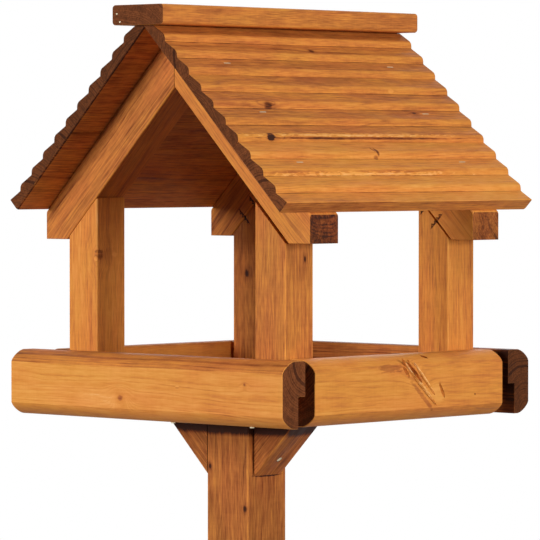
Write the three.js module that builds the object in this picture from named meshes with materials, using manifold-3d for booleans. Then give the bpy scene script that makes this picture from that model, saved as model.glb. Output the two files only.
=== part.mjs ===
// Bird table: a railed feeding tray under a ribbed gable roof, carried by a post on a cross foot.
// Millimetres, +Z up. The origin is on the ground, on the axis of the post.
// X runs across the gable, Y runs along the ridge, and the front gable faces -Y.

import * as THREE from 'three';
import { mergeVertices } from 'three/addons/utils/BufferGeometryUtils.js';
import Module from 'manifold-3d';

const wasm = await Module();
wasm.setup();

// Timber sections
const stock = 45; // square timber of the corner posts, rafters and braces
const stockArris = 2.5; // rounding of its long edges
const poleStock = 63; // square timber of the post
const poleArris = 3;
const battenThickness = 22; // planed batten of the ridge cap
const battenArris = 4;
const bearerStock = 19; // square batten under the floor
const bearerArris = 2;

// Fits
const seatGap = 0.3; // between two pieces that bear on each other
const cutOverrun = 3; // how far a cut runs past the face that it opens

// Tray, measured from the bottom of its rails
const trayWidth = 410;
const trayDepth = 410;
const railHeight = 72;
const railThickness = 36;
const railLip = 25; // thickness below the rebate
const railShoulder = 34; // height of the rebate
const railCrownWidth = 18; // arcs that ease the two outer edges
const railCrownHeight = 13;
const railCrownShares = [0.36, 0.2]; // bend of the arcs, in from the face and down from the edge
const railArris = 2.5; // rounding of the inner top edge
const frontRailOverrun = 3.5; // the front rail runs on past the left rail
const frontDrain = 15; // open gap between a side rail and the front rail
const backDrain = 10;
const floorThickness = 14;
const floorBoardCount = 3;
const floorSlot = 4; // open slot between two floor boards
const floorEdgeGap = 1; // between the floor's edge and the lip of a rail

// Stand
const trayHeight = 1000; // ground to the bottom of the rails
const footLength = 560;
const footWidth = 63;
const footHeight = 45;
const footArris = 4;
const trayBraceLeg = 85.5; // length that a tray brace takes up on the post
const leftBraceSetback = 1; // of the left brace behind the front of the post; the right one is centred
const footBraceLeg = 150;
const mitre = THREE.MathUtils.degToRad(45); // lean of a brace from the level

// Shelter frames, measured from the bottom of the rails
const pitch = THREE.MathUtils.degToRad(45);
const postSideGap = 4; // between a corner post and a side rail
const postEndGap = 12; // between a corner post and the front or the back rail
const cornerPostTop = 199; // top of a corner post at its outer face
const rafterTail = 35.5; // rafter beyond the corner post's outer face
const rafterFootDrop = 3.5; // level cut of the foot, below the outer end of the post's top

// Roof boards and ridge cap
const gableOverhang = 47; // roof boards beyond a gable frame
const eaveSetback = 1.2; // from the end of a rafter to the low corner of the roof boards
const boardsPerSlope = 3;
const ribsPerBoard = 4;
const ribHeight = 4.9; // of the rib's corner before it is rounded
const boardBase = 11.2; // thickness at the valleys
const boardJoint = 0.4; // gap between two boards
const ridgeTrim = 18; // width planed off the top board
const eaveTrim = 7.3; // width sawn off the bottom board
const capSeat = 2.7; // level seat of the cap above the point where the undersides meet
const capWidth = 77;
const capFrontOverhang = 10; // ridge cap beyond the roof boards
const capBackOverhang = 2.5;

// Rib section, as shares of one rib
const ribCrestShare = 0.79; // place of the corner across the pitch
const ribRoundShares = [0.7, 0.5]; // where the rounding leaves the upper and the lower face

// Fastenings
const screwDiameter = 4;
const screwHead = 8;
const screwTip = 5;
const screwSink = 0.5; // depth of the head below the face
const shortScrewLength = 45;
const middleScrewLength = 60;
const longScrewLength = 95;
const holeClearance = 0.3;
const screwInset = 15; // of a pair of screws from the axis of the post
const braceScrewRise = 26; // along a brace's sloping face, from its low edge
const corrugatedLength = 20;
const corrugatedDepth = 10;
const corrugatedSheet = 0.8;
const corrugatedWave = 1.4; // half the height of its waves
const corrugatedFolds = 8;
const corrugatedShares = [0.25, 0.6]; // places along a joint from its inner end

// Facets
const arrisSegments = 3;
const crownSegments = 5;
const ribSegments = 4;
const screwSides = 8;

// Derived places
const up = new THREE.Vector3(0, 0, 1);
const halfTrayWidth = trayWidth / 2;
const halfTrayDepth = trayDepth / 2;
const halfPole = poleStock / 2;
const halfStock = stock / 2;
const trayOffset = halfPole + seatGap + bearerStock / 2; // the post stands in front of the bearer
const floorTop = railShoulder - seatGap;
const floorBottom = floorTop - floorThickness;
const bearerTop = floorBottom - seatGap;
const floorWidth = trayWidth - 2 * (railLip + floorEdgeGap);
const floorDepth = trayDepth - 2 * (railLip + floorEdgeGap);
const floorBoardPitch = (floorWidth + floorSlot) / floorBoardCount;
const frameWidth = trayWidth - 2 * (railThickness + postSideGap); // over the corner posts
const frameDepth = trayDepth - 2 * (railThickness + postEndGap);
const frameMiddle = frameDepth / 2 - halfStock; // of a gable frame, along Y
const postMiddle = frameWidth / 2 - halfStock; // of a corner post, across X
const rafterLowPeak = cornerPostTop + (frameWidth / 2) * Math.tan(pitch);
const rafterTopPeak = rafterLowPeak + stock / Math.cos(pitch);
const boardPeak = rafterTopPeak + seatGap / Math.cos(pitch);
const slopeLength = (frameWidth / 2 + rafterTail - eaveSetback) / Math.cos(pitch);
const boardPitch = (slopeLength + ridgeTrim + eaveTrim) / boardsPerSlope;
const ribPitch = boardPitch / ribsPerBoard;
const roofLength = frameDepth + 2 * gableOverhang;
const sawReach = 2 * (footLength + trayWidth); // size of a block that stands for a saw cut

const ends = [['front', -1], ['back', 1]];
const sides = [['left', -1], ['right', 1]];

// Materials
const wood = (color, roughness) => new THREE.MeshStandardMaterial({ color, roughness, metalness: 0 });
const faceWood = wood('#c9803f', 0.6);
const postWood = wood('#b8713a', 0.62);
const roofWood = wood('#c57a3a', 0.6);
const floorWood = wood('#a9662f', 0.66);
const zinc = new THREE.MeshStandardMaterial({ color: '#a9a59a', roughness: 0.45, metalness: 0.85 });

// Solids
function toSolid(geometry) {
  const bare = geometry.clone();
  bare.deleteAttribute('normal');
  bare.deleteAttribute('uv');
  const merged = mergeVertices(bare);
  return new wasm.Manifold(new wasm.Mesh({
    numProp: 3,
    vertProperties: new Float32Array(merged.attributes.position.array),
    triVerts: new Uint32Array(merged.index.array),
  }));
}

function toGeometry(solid) {
  const { numProp, vertProperties, triVerts } = solid.getMesh();
  const geometry = new THREE.BufferGeometry();
  const positions = new Float32Array((vertProperties.length / numProp) * 3);
  for (let vertex = 0; vertex * numProp < vertProperties.length; vertex += 1) {
    positions.set(vertProperties.subarray(vertex * numProp, vertex * numProp + 3), vertex * 3);
  }
  geometry.setAttribute('position', new THREE.BufferAttribute(positions, 3));
  geometry.setIndex(new THREE.BufferAttribute(new Uint32Array(triVerts), 1));
  geometry.computeVertexNormals();
  return geometry;
}

function cutAway(geometry, tools) {
  const solid = tools.reduce((body, tool) => body.subtract(toSolid(tool)), toSolid(geometry));
  return toGeometry(solid);
}

// A saw cut takes away all that lies beyond a point in one direction.
function sawCut(point, direction) {
  const block = new THREE.BoxGeometry(sawReach, sawReach, sawReach);
  block.translate(0, 0, sawReach / 2);
  block.applyQuaternion(new THREE.Quaternion().setFromUnitVectors(up, direction.clone().normalize()));
  return block.translate(point.x, point.y, point.z);
}

// Sections are drawn in a plane and run out along X, Y or Z, centred on the start.
const runs = {
  X: new THREE.Matrix4().makeBasis(new THREE.Vector3(0, 1, 0), up, new THREE.Vector3(1, 0, 0)),
  Y: new THREE.Matrix4().makeBasis(new THREE.Vector3(1, 0, 0), up, new THREE.Vector3(0, -1, 0)),
  Z: new THREE.Matrix4(),
};

function extrude(shape, length, axis, curveSegments) {
  const geometry = new THREE.ExtrudeGeometry(shape, { depth: length, bevelEnabled: false, curveSegments });
  return geometry.translate(0, 0, -length / 2).applyMatrix4(runs[axis]);
}

function roundedRectangle(width, height, arris) {
  const [x, y] = [width / 2, height / 2];
  const shape = new THREE.Shape();
  shape.absarc(x - arris, y - arris, arris, 0, Math.PI / 2);
  shape.absarc(arris - x, y - arris, arris, Math.PI / 2, Math.PI);
  shape.absarc(arris - x, arris - y, arris, Math.PI, Math.PI * 1.5);
  shape.absarc(x - arris, arris - y, arris, Math.PI * 1.5, Math.PI * 2);
  return shape;
}

const timber = (width, height, length, axis, arris) => (
  extrude(roundedRectangle(width, height, arris), length, axis, arrisSegments)
);

// Scene graph
const table = new THREE.Group();
const tray = new THREE.Group();
tray.position.set(0, trayOffset, trayHeight);
table.add(tray);

function piece(name, geometry, material, parent, position, turn = 0) {
  const mesh = new THREE.Mesh(geometry, material);
  mesh.name = name;
  mesh.position.copy(position);
  mesh.rotation.z = turn;
  parent.add(mesh);
  table.updateMatrixWorld(true);
  return mesh;
}

const at = (x, y, z) => new THREE.Vector3(x, y, z);

// Rails: the outer face stands at y = 0 and the wood lies behind it.
function railSection() {
  const [bendIn, bendDown] = [railCrownWidth * railCrownShares[0], railCrownHeight * railCrownShares[1]];
  const shape = new THREE.Shape();
  shape.moveTo(railCrownWidth, 0);
  shape.lineTo(railLip, 0);
  shape.lineTo(railLip, railShoulder);
  shape.lineTo(railThickness, railShoulder);
  shape.absarc(railThickness - railArris, railHeight - railArris, railArris, 0, Math.PI / 2);
  shape.lineTo(railCrownWidth, railHeight);
  shape.quadraticCurveTo(bendIn, railHeight - bendDown, 0, railHeight - railCrownHeight);
  shape.lineTo(0, railCrownHeight);
  shape.quadraticCurveTo(bendIn, bendDown, railCrownWidth, 0);
  return shape;
}

const rail = (length) => extrude(railSection(), length, 'X', crownSegments);
const sideRailLength = trayDepth - 2 * railThickness - frontDrain - backDrain;
const sideRailShift = (frontDrain - backDrain) / 2;

const frontRail = rail(trayWidth + frontRailOverrun);
piece('front_rail', frontRail, faceWood, tray, at(-frontRailOverrun / 2, -halfTrayDepth, 0));
piece('back_rail', rail(trayWidth), faceWood, tray, at(0, halfTrayDepth, 0), Math.PI);
for (const [side, sign] of sides) {
  const place = at(sign * halfTrayWidth, sideRailShift, 0);
  piece(`${side}_rail`, rail(sideRailLength), faceWood, tray, place, sign * (Math.PI / 2));
}

// Floor boards run front to back, with their ends under the shoulders of the rails.
const floorBoards = [];
for (let index = 0; index < floorBoardCount; index += 1) {
  const x = (index - (floorBoardCount - 1) / 2) * floorBoardPitch;
  const board = new THREE.BoxGeometry(floorBoardPitch - floorSlot, floorDepth, floorThickness);
  const place = at(x, 0, floorTop - floorThickness / 2);
  floorBoards.push(piece(`floor_board_${index + 1}`, board, floorWood, tray, place));
}

const bearer = piece(
  'floor_bearer', timber(bearerStock, bearerStock, floorWidth, 'X', bearerArris), floorWood, tray,
  at(0, 0, bearerTop - bearerStock / 2),
);

// Corner posts: sawn at the roof pitch under the rafters. The cut rises towards +X here,
// so a post on the right is turned round.
function cornerPost() {
  const tall = rafterLowPeak - floorTop;
  const body = timber(stock, stock, tall, 'Z', stockArris).translate(0, 0, floorTop + seatGap + tall / 2);
  const top = at(halfStock, 0, cornerPostTop + stock * Math.tan(pitch) - seatGap / Math.cos(pitch));
  return cutAway(body, [sawCut(top, at(-Math.sin(pitch), 0, Math.cos(pitch)))]);
}

// Rafters: drawn for the right-hand slope, with the peak at the origin of the piece.
function rafter() {
  const run = (frameWidth / 2 + rafterTail) / Math.cos(pitch) + 2 * stock;
  const body = timber(stock, stock, run, 'X', stockArris);
  body.translate(run / 2 - stock, 0, -halfStock).rotateY(pitch);
  const footLevel = cornerPostTop - rafterFootDrop - rafterTopPeak;
  return cutAway(body, [
    sawCut(at(seatGap / 2, 0, 0), at(-1, 0, 0)),
    sawCut(at(frameWidth / 2 + rafterTail, 0, 0), at(1, 0, 0)),
    sawCut(at(0, 0, footLevel), at(0, 0, -1)),
  ]);
}

const cornerPosts = [];
const rafters = [];
for (const [end, endSign] of ends) {
  for (const [side, sideSign] of sides) {
    const y = endSign * frameMiddle;
    cornerPosts.push(piece(
      `${end}_${side}_corner_post`, cornerPost(), postWood, tray,
      at(sideSign * postMiddle, y, 0), sideSign > 0 ? Math.PI : 0,
    ));
    rafters.push(piece(
      `${end}_${side}_rafter`, rafter(), faceWood, tray,
      at(0, y, rafterTopPeak), sideSign > 0 ? 0 : Math.PI,
    ));
  }
}

// Roof boards: ribbed on top and flat below. x runs down the slope from the peak of the undersides.
function boardSection(width, start) {
  const crest = ribCrestShare * ribPitch;
  const [roundStart, roundEnd] = ribRoundShares;
  const shape = new THREE.Shape();
  shape.moveTo(start, 0);
  shape.lineTo(start, boardBase);
  for (let rib = 0; rib < ribsPerBoard; rib += 1) {
    const valley = start + (rib * width) / ribsPerBoard;
    shape.lineTo(valley + crest * roundStart, boardBase + ribHeight * roundStart);
    shape.quadraticCurveTo(
      valley + crest, boardBase + ribHeight,
      valley + crest + (ribPitch - crest) * roundEnd, boardBase + ribHeight * (1 - roundEnd),
    );
    shape.lineTo(valley + width / ribsPerBoard, boardBase);
  }
  shape.lineTo(start + width, 0);
  return shape;
}

function roofBoard(index) {
  const start = index * boardPitch - ridgeTrim + boardJoint / 2;
  const board = extrude(boardSection(boardPitch - boardJoint, start), roofLength, 'Y', ribSegments);
  if (index > 0 && index < boardsPerSlope - 1) return board;
  const plumb = at(-Math.cos(pitch), 0, -Math.sin(pitch)); // the world's -X, seen from the slope
  const level = at(-Math.sin(pitch), 0, Math.cos(pitch)); // the world's +Z
  return cutAway(board, [
    sawCut(plumb.clone().multiplyScalar(-seatGap / 2), plumb),
    sawCut(level.clone().multiplyScalar(capSeat - seatGap / 2), level),
    sawCut(at(slopeLength, 0, 0), at(1, 0, 0)),
  ]);
}

const boardNames = ['upper', 'middle', 'lower'];
for (const [side, sign] of sides) {
  const half = new THREE.Group();
  half.rotation.z = sign > 0 ? 0 : Math.PI;
  const slope = new THREE.Group();
  slope.position.z = boardPeak;
  slope.rotation.y = pitch;
  half.add(slope);
  tray.add(half);
  for (let index = 0; index < boardsPerSlope; index += 1) {
    const name = `${side}_roof_board_${boardNames[index] ?? index + 1}`;
    piece(name, roofBoard(index), roofWood, slope, at(0, 0, 0));
  }
}

const capLength = capFrontOverhang + roofLength + capBackOverhang;
const capPlace = at(
  0, (capBackOverhang - capFrontOverhang) / 2, boardPeak + capSeat + seatGap / 2 + battenThickness / 2,
);
const cap = timber(capWidth, battenThickness, capLength, 'Y', battenArris);
piece('ridge_cap', cap, roofWood, tray, capPlace);

// Stand
const poleBottom = footHeight + seatGap;
const poleTop = trayHeight + bearerTop;
const pole = piece(
  'post', timber(poleStock, poleStock, poleTop - poleBottom, 'Z', poleArris), postWood, table,
  at(0, 0, (poleTop + poleBottom) / 2),
);

// The feet cross in a halved joint, so both rest on the ground.
function foot(axis, lapSide) {
  const body = axis === 'X'
    ? timber(footWidth, footHeight, footLength, 'X', footArris)
    : timber(footWidth, footHeight, footLength, 'Y', footArris);
  const lapWidth = footWidth + seatGap;
  const lap = new THREE.BoxGeometry(lapWidth, lapWidth, footHeight / 2 + seatGap / 2 + cutOverrun);
  lap.translate(0, 0, lapSide * (footHeight / 4 - seatGap / 4 + cutOverrun / 2));
  return cutAway(body, [lap]);
}

const feet = [
  piece('foot_across', foot('X', 1), postWood, table, at(0, 0, footHeight / 2)),
  piece('foot_along', foot('Y', -1), postWood, table, at(0, 0, footHeight / 2)),
];

// Braces: drawn under a level seat, against a plumb face at x = 0.
function brace(leg) {
  const run = leg / Math.sin(mitre) + 2 * stock;
  const body = timber(stock, stock, run, 'X', stockArris);
  body.translate(run / 2 - stock, 0, halfStock).rotateY(-mitre).translate(0, 0, -leg);
  return cutAway(body, [sawCut(at(0, 0, 0), at(-1, 0, 0)), sawCut(at(0, 0, 0), up)]);
}

const braceFace = halfPole + seatGap;
const trayBraceLine = (sign) => (sign > 0 ? 0 : leftBraceSetback + halfStock - halfPole);
const trayBraces = sides.map(([side, sign]) => piece(
  `${side}_tray_brace`, brace(trayBraceLeg), postWood, table,
  at(sign * braceFace, trayBraceLine(sign), poleTop), sign > 0 ? 0 : Math.PI,
));

const quarterTurns = [['right', 0], ['back', 1], ['left', 2], ['front', 3]];
const footBraces = quarterTurns.map(([side, quarters]) => {
  const turn = quarters * (Math.PI / 2);
  const upturned = brace(footBraceLeg).rotateX(Math.PI);
  const place = at(braceFace * Math.cos(turn), braceFace * Math.sin(turn), poleBottom);
  return piece(`${side}_foot_brace`, upturned, postWood, table, place, turn);
});

// Screws are drawn with the face of the head at the origin, driven towards -Z.
const screw = (length) => (clearance) => {
  const [shank, brim] = [screwDiameter / 2 + clearance, screwHead / 2 + clearance];
  const headDepth = (screwHead - screwDiameter) / 2;
  const profile = [
    new THREE.Vector2(0, -length - clearance),
    new THREE.Vector2(shank, -length + screwTip - clearance),
    new THREE.Vector2(shank, -headDepth - clearance),
    new THREE.Vector2(brim, -clearance),
    new THREE.Vector2(clearance > 0 ? brim : 0, clearance > 0 ? cutOverrun : 0),
  ];
  if (clearance > 0) profile.push(new THREE.Vector2(0, cutOverrun));
  return new THREE.LatheGeometry(profile, screwSides).rotateX(Math.PI / 2);
};

// Corrugated fastener: a folded strip across a joint, driven edge-on.
function corrugated(clearance) {
  const fold = corrugatedLength / corrugatedFolds;
  const half = corrugatedSheet / 2 + clearance;
  const steps = Array.from({ length: corrugatedFolds + 1 }, (_, step) => step);
  const along = steps.map((step) => (step - corrugatedFolds / 2) * fold);
  along[0] -= clearance;
  along[corrugatedFolds] += clearance;
  const wave = steps.map((step) => (step % 2 ? corrugatedWave : -corrugatedWave));
  const face = (side) => steps.map((step) => new THREE.Vector2(along[step], wave[step] + side * half));
  const shape = new THREE.Shape([...face(-1), ...face(1).reverse()]);
  const lift = clearance > 0 ? cutOverrun : 0;
  const depth = corrugatedDepth + clearance + lift;
  return extrude(shape, depth, 'Z', 1).translate(0, 0, lift - depth / 2);
}

// The place of a screw in a group, with its head sunk in the face that it is driven through
function driven(parent, face, direction) {
  const back = direction.clone().negate().normalize();
  const turn = new THREE.Quaternion().setFromUnitVectors(up, back);
  const matrix = new THREE.Matrix4().makeRotationFromQuaternion(turn);
  matrix.setPosition(face.clone().addScaledVector(back, -screwSink));
  return matrix.premultiply(parent.matrixWorld);
}

// The place of a corrugated fastener, flush with a face and lying across a joint
function stapled(parent, face, direction, across) {
  const back = direction.clone().negate();
  const basis = new THREE.Matrix4().makeBasis(across, back.clone().cross(across), back);
  return basis.setPosition(face).premultiply(parent.matrixWorld);
}

// Each fastening is a piece of its own, with a hole for it in the meshes that it joins.
function fasten(name, form, places, meshes) {
  for (const mesh of meshes) {
    const inward = mesh.matrixWorld.clone().invert();
    const holes = places.map((place) => form(holeClearance).applyMatrix4(place).applyMatrix4(inward));
    mesh.geometry = cutAway(mesh.geometry, holes);
  }
  places.forEach((place, index) => {
    const mesh = piece(`${name}_${index + 1}`, form(0), zinc, table, at(0, 0, 0));
    mesh.applyMatrix4(place);
  });
}

const down = up.clone().negate();

// Screws up through the floor into the corner posts
const cornerScrews = cornerPosts.map((post) => (
  driven(tray, at(post.position.x, post.position.y, floorBottom), up)
));
fasten('corner_post_screw', screw(middleScrewLength), cornerScrews, [...cornerPosts, ...floorBoards]);

// Screws down through the floor into the tray braces
const seatMiddle = braceFace + trayBraceLeg / Math.tan(mitre) - halfStock / Math.sin(mitre);
const braceTopScrews = sides.map(([, sign]) => (
  driven(tray, at(sign * seatMiddle, trayBraceLine(sign) - trayOffset, floorTop), down)
));
fasten('brace_top_screw', screw(shortScrewLength), braceTopScrews, [...trayBraces, ...floorBoards]);

// Screws square through the sloping faces of the braces into the post
const screwOut = braceFace + braceScrewRise * Math.cos(mitre);
const screwRise = braceScrewRise * Math.sin(mitre);
const trayBraceScrews = sides.map(([, sign]) => driven(
  table, at(sign * screwOut, trayBraceLine(sign), poleTop - trayBraceLeg + screwRise),
  at(-sign * Math.sin(mitre), 0, Math.cos(mitre)),
));
fasten('tray_brace_screw', screw(middleScrewLength), trayBraceScrews, [...trayBraces, pole]);

const footBraceScrews = footBraces.map((mesh) => {
  const outward = mesh.position.clone().setZ(0).normalize();
  const place = outward.clone().multiplyScalar(screwOut).setZ(poleBottom + footBraceLeg - screwRise);
  const inward = outward.multiplyScalar(-Math.sin(mitre));
  return driven(table, place, inward.setZ(-Math.cos(mitre)));
});
fasten('foot_brace_screw', screw(middleScrewLength), footBraceScrews, [...footBraces, pole]);

// Screws through the bearer into the post, and up through the halved feet into the post
const postTopScrews = sides.map(([, sign]) => driven(
  tray, at(sign * screwInset, bearerStock / 2, bearerTop - bearerStock / 2), at(0, -1, 0),
));
fasten('post_top_screw', screw(middleScrewLength), postTopScrews, [bearer, pole]);
const postFootScrews = sides.map(([, sign]) => driven(table, at(sign * screwInset, 0, 0), up));
fasten('post_foot_screw', screw(longScrewLength), postFootScrews, [...feet, pole]);

// Corrugated fasteners on the inner faces of the gable frames: two across the joint
// of a rafter and its post, and one across the joint at the peak
const corrugatedPlaces = [];
for (const [, endSign] of ends) {
  const inner = endSign * (frameMiddle - halfStock);
  const drive = at(0, endSign, 0);
  for (const [, sideSign] of sides) {
    for (const share of corrugatedShares) {
      const x = sideSign * (frameWidth / 2 - stock * (1 - share));
      const z = rafterLowPeak - Math.abs(x) * Math.tan(pitch);
      const across = at(sideSign * Math.sin(pitch), 0, Math.cos(pitch));
      corrugatedPlaces.push(stapled(tray, at(x, inner, z), drive, across));
    }
  }
  const peak = at(0, inner, (rafterLowPeak + rafterTopPeak) / 2);
  corrugatedPlaces.push(stapled(tray, peak, drive, at(1, 0, 0)));
}
fasten('corrugated_fastener', corrugated, corrugatedPlaces, [...cornerPosts, ...rafters]);

export default table;
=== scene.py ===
"""A wooden bird table: a railed feeding tray under a ribbed gable roof, on a braced post with a cross foot.

Metres, +Z up. X runs across the gable, Y runs along the ridge, and the front gable faces -Y.
"""

import math
import random

import bmesh
import bpy
from mathutils import Matrix, Vector


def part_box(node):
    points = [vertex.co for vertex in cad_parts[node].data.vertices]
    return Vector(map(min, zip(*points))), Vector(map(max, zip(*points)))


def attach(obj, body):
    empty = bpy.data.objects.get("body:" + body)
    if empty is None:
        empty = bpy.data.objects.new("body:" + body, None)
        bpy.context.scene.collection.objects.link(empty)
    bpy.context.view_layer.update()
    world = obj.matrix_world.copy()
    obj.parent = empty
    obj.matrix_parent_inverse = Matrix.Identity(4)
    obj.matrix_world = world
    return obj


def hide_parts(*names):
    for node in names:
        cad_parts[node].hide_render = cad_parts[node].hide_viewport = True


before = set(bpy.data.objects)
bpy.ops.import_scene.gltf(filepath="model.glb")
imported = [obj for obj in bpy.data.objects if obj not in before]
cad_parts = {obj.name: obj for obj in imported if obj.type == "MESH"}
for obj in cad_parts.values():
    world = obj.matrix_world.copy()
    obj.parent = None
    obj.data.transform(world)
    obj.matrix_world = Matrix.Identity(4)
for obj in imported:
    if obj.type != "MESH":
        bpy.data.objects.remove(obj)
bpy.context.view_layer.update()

MM = 0.001
X = Vector((1, 0, 0))
Y = Vector((0, 1, 0))
Z = Vector((0, 0, 1))
HANDS = (("left", -1), ("right", 1))
ROWS = ("upper", "middle", "lower")
random.seed(27)

# Cosines and distances that tell the parts of a piece from each other
PARALLEL = 0.999  # two directions that count as one
FACING = 0.9  # a face that looks a given way
SQUARE_CUT = 0.8  # a face sawn square across the grain, against the grain
SLANT_CUT = 0.6  # a face sawn at the pitch, against the grain
CROWN_LEAN = 0.3  # a facet of a rail's crown, against level or plumb
END_LEAN = 0.2  # a facet that rounds off an end, against the grain
BOARD_END_LEANS = (0.1, 0.95)  # the same on a roof board, without its sawn face
VALLEY_LEAN = 0.7  # a facet in the bottom of a valley, against the way out of the roof
RIB_LEAN = -0.1  # the side of a rib that lies nearly flat, against the way down the roof
NEAR = 0.1 * MM  # places that count as one
SLIVER = 0.01 * MM
WELD = 0.001 * MM

# Sizes of the timber, as it is cut
STOCK = 45 * MM
STOCK_ARRIS = 2.5 * MM
POLE_ARRIS = 3 * MM
FOOT_ARRIS = 4 * MM
BATTEN_ARRIS = 4 * MM
BEARER_ARRIS = 2 * MM
BOARD_ARRIS = 1.5 * MM
RIM = 0.7 * MM  # broken edge round a saw cut
RAIL_RIM = 0.9 * MM
BOARD_RIM = 0.4 * MM

RAIL_HEIGHT = 72 * MM
RAIL_THICKNESS = 36 * MM
RAIL_LIP = 25 * MM
RAIL_SHOULDER = 34 * MM
RAIL_CROWN_WIDTH = 18 * MM
RAIL_CROWN_HEIGHT = 13 * MM
RAIL_CROWN_BEND = 0.372  # of the bevel that makes the crown
RAIL_ARRIS = 2.5 * MM

PITCH = math.radians(45)
RIBS_PER_BOARD = 4
BOARD_BASE = 11.2 * MM
BOARD_JOINT = 0.4 * MM
RIB_HEIGHT = 4.9 * MM
RIB_CREST_SHARE = 0.79
RIB_ROUND = 3.4 * MM
VALLEY_ROUND = 0.9 * MM
RIDGE_TRIM = 18 * MM
EAVE_TRIM = 7.3 * MM
CAP_SEAT = 2.7 * MM
EAVE_SETBACK = 1.2 * MM
GABLE_ARRIS = 2.2 * MM  # under the ends of the roof boards
SEAT_GAP = 0.3 * MM
HOLE_CLEARANCE = 0.45 * MM  # round a screw
GROOVE_CLEARANCE = 0.7 * MM  # round a corrugated fastener, whose driving crushed the wood
CUT_OVERRUN = 2 * MM
STAPLE_CROWN = 10 * MM
STAPLE_WIRE = 1.3 * MM
STAPLE_LEG = 3 * MM  # as far as it is modelled
PIN_HEAD = 2.4 * MM
SCREW_HEAD = 5 * MM

# Open joint that shows as a dark line between a corner post and its rafter
JOINT_GAPS = {"front_left": 0.6 * MM, "front_right": 2.4 * MM,
              "back_left": 0.8 * MM, "back_right": 1.0 * MM}

# How much darker a part of a piece is made, or paler below zero, by stain and by painted shade or painted
# light
# Stain on the top and upper crown of a rail, with painted shade there
TOP_STAIN_AND_SHADE = 0.09
CUT_STAIN = 0.42
# Painted shade on the lower crown and underside of a rail
BOTTOM_PAINTED_SHADE = 0.07
# Darker on the edges at the eaves
EAVE_EDGE_DARKENING = 0.16
# Painted shade on the side of a rib that lies nearly flat, by row
FLAT_RIB_PAINTED_SHADE = (0.07, 0.07, -0.01)
# Painted shade in the bottoms of the valleys
VALLEY_PAINTED_SHADE = 0.36
VALLEY_BAND = 0.3 * MM  # a face this near to the bottom of a valley belongs to it
# Painted shade on the undersides of the roof boards
UNDERSIDE_PAINTED_SHADE = 0.05
INNER_SIDE_PAINTED_LIGHT = -0.14  # painted light on the back left post, on its side towards the tray
CAP_END_STAIN = -0.14

# Growth of the tree that the timber was cut from
TREE_HEIGHT = 20
HEART_DISTANCE = (40, 90)  # mm from the middle of a piece to the heart of the tree
RING_WANDER = 34 * MM  # how far the rings stray from circles, over some decimetres
RING_RIPPLE = 2.4 * MM  # and over some centimetres
YEAR_SWING = 2.4  # years by which the count of the rings runs ahead, so that some are wide

# A satin stain is nearly as dull as bare wood
STAIN_IOR = 1.45
STAIN_SHEEN = 0.12
HUE_DRIFT = (0.494, 0.503)  # from reddish to golden, where 0.5 is the stain as it is

# Light that doesn't come from a lamp
AMBIENT = 0.02
FLOOR_GLOW = 0.7


# Hand tools


def alone(piece):
    bpy.ops.object.select_all(action="DESELECT")
    piece.select_set(True)
    bpy.context.view_layer.objects.active = piece


def new_block(name, size, centre=(0, 0, 0)):
    """A sawn block of a size, centred on a place."""
    bpy.ops.mesh.primitive_cube_add(size=1, location=centre)
    piece = bpy.context.object
    piece.name = piece.data.name = name
    piece.scale = size
    bpy.ops.object.transform_apply(location=True, rotation=True, scale=True)
    return piece


def pick(piece, kind, wanted=lambda part: True):
    """Opens a piece in edit mode with its wanted faces, edges or corners selected, or else all of them."""
    alone(piece)
    bpy.ops.object.mode_set(mode="EDIT")
    bpy.ops.mesh.select_mode(type=kind)
    bpy.ops.mesh.select_all(action="DESELECT")
    mesh = bmesh.from_edit_mesh(piece.data)
    mesh.normal_update()
    for part in {"VERT": mesh.verts, "EDGE": mesh.edges, "FACE": mesh.faces}[kind]:
        if wanted(part):
            part.select_set(True)
    bmesh.update_edit_mesh(piece.data)


def close():
    bpy.ops.object.mode_set(mode="OBJECT")


def runs_along(edge, direction):
    way = edge.verts[1].co - edge.verts[0].co
    return abs(way.normalized().dot(direction)) > PARALLEL


def ease(piece, direction, width, segments=5, profile=0.5, wanted=lambda edge: True):
    """Rounds the long edges that run in one direction."""
    pick(piece, "EDGE", lambda edge: runs_along(edge, direction) and wanted(edge))
    bpy.ops.mesh.bevel(offset=width, segments=segments, profile=profile, affect="EDGES")
    close()


def saw(piece, point, waste):
    """Saws a piece through a point and drops what lies on the waste side."""
    pick(piece, "FACE")
    bpy.ops.mesh.bisect(plane_co=point, plane_no=waste, use_fill=True, clear_outer=True)
    close()


def break_rims(piece, normals, width=RIM):
    """Takes the sharpness off the edges of the sawn faces that have these normals."""
    def is_cut(face):
        return any(face.normal.dot(normal) > PARALLEL for normal in normals)

    def is_rim(edge):
        return len(edge.link_faces) == 2 and sum(is_cut(face) for face in edge.link_faces) == 1

    pick(piece, "EDGE", is_rim)
    bpy.ops.mesh.bevel(offset=width, segments=2, affect="EDGES")
    close()


def put(piece, turn, place):
    """Turns a piece that was made at the origin and sets it in its place."""
    alone(piece)
    piece.matrix_world = Matrix.Translation(place) @ turn.to_4x4()
    bpy.ops.object.transform_apply(location=True, rotation=True, scale=True)


def square_to(along, side):
    return Matrix((along, side, along.cross(side))).transposed()


def bore(piece, cutter, operation="DIFFERENCE"):
    """Cuts a shape out of a piece, or melts it into the piece, and throws the shape away."""
    alone(piece)
    cut = piece.modifiers.new("cut", "BOOLEAN")
    cut.operation = operation
    cut.solver = "EXACT"
    cut.object = cutter
    bpy.ops.object.modifier_apply(modifier=cut.name)
    bpy.data.objects.remove(cutter)
    pick(piece, "VERT")
    bpy.ops.mesh.remove_doubles(threshold=SLIVER)
    bpy.ops.mesh.dissolve_degenerate(threshold=SLIVER)
    close()


# Finishes


def linear(hex_colour):
    """An sRGB hex colour as linear red, green, blue and alpha."""
    channels = [int(hex_colour[i:i + 2], 16) / 255 for i in (1, 3, 5)]
    return [c / 12.92 if c <= 0.04045 else ((c + 0.055) / 1.055) ** 2.4 for c in channels] + [1]


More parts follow.
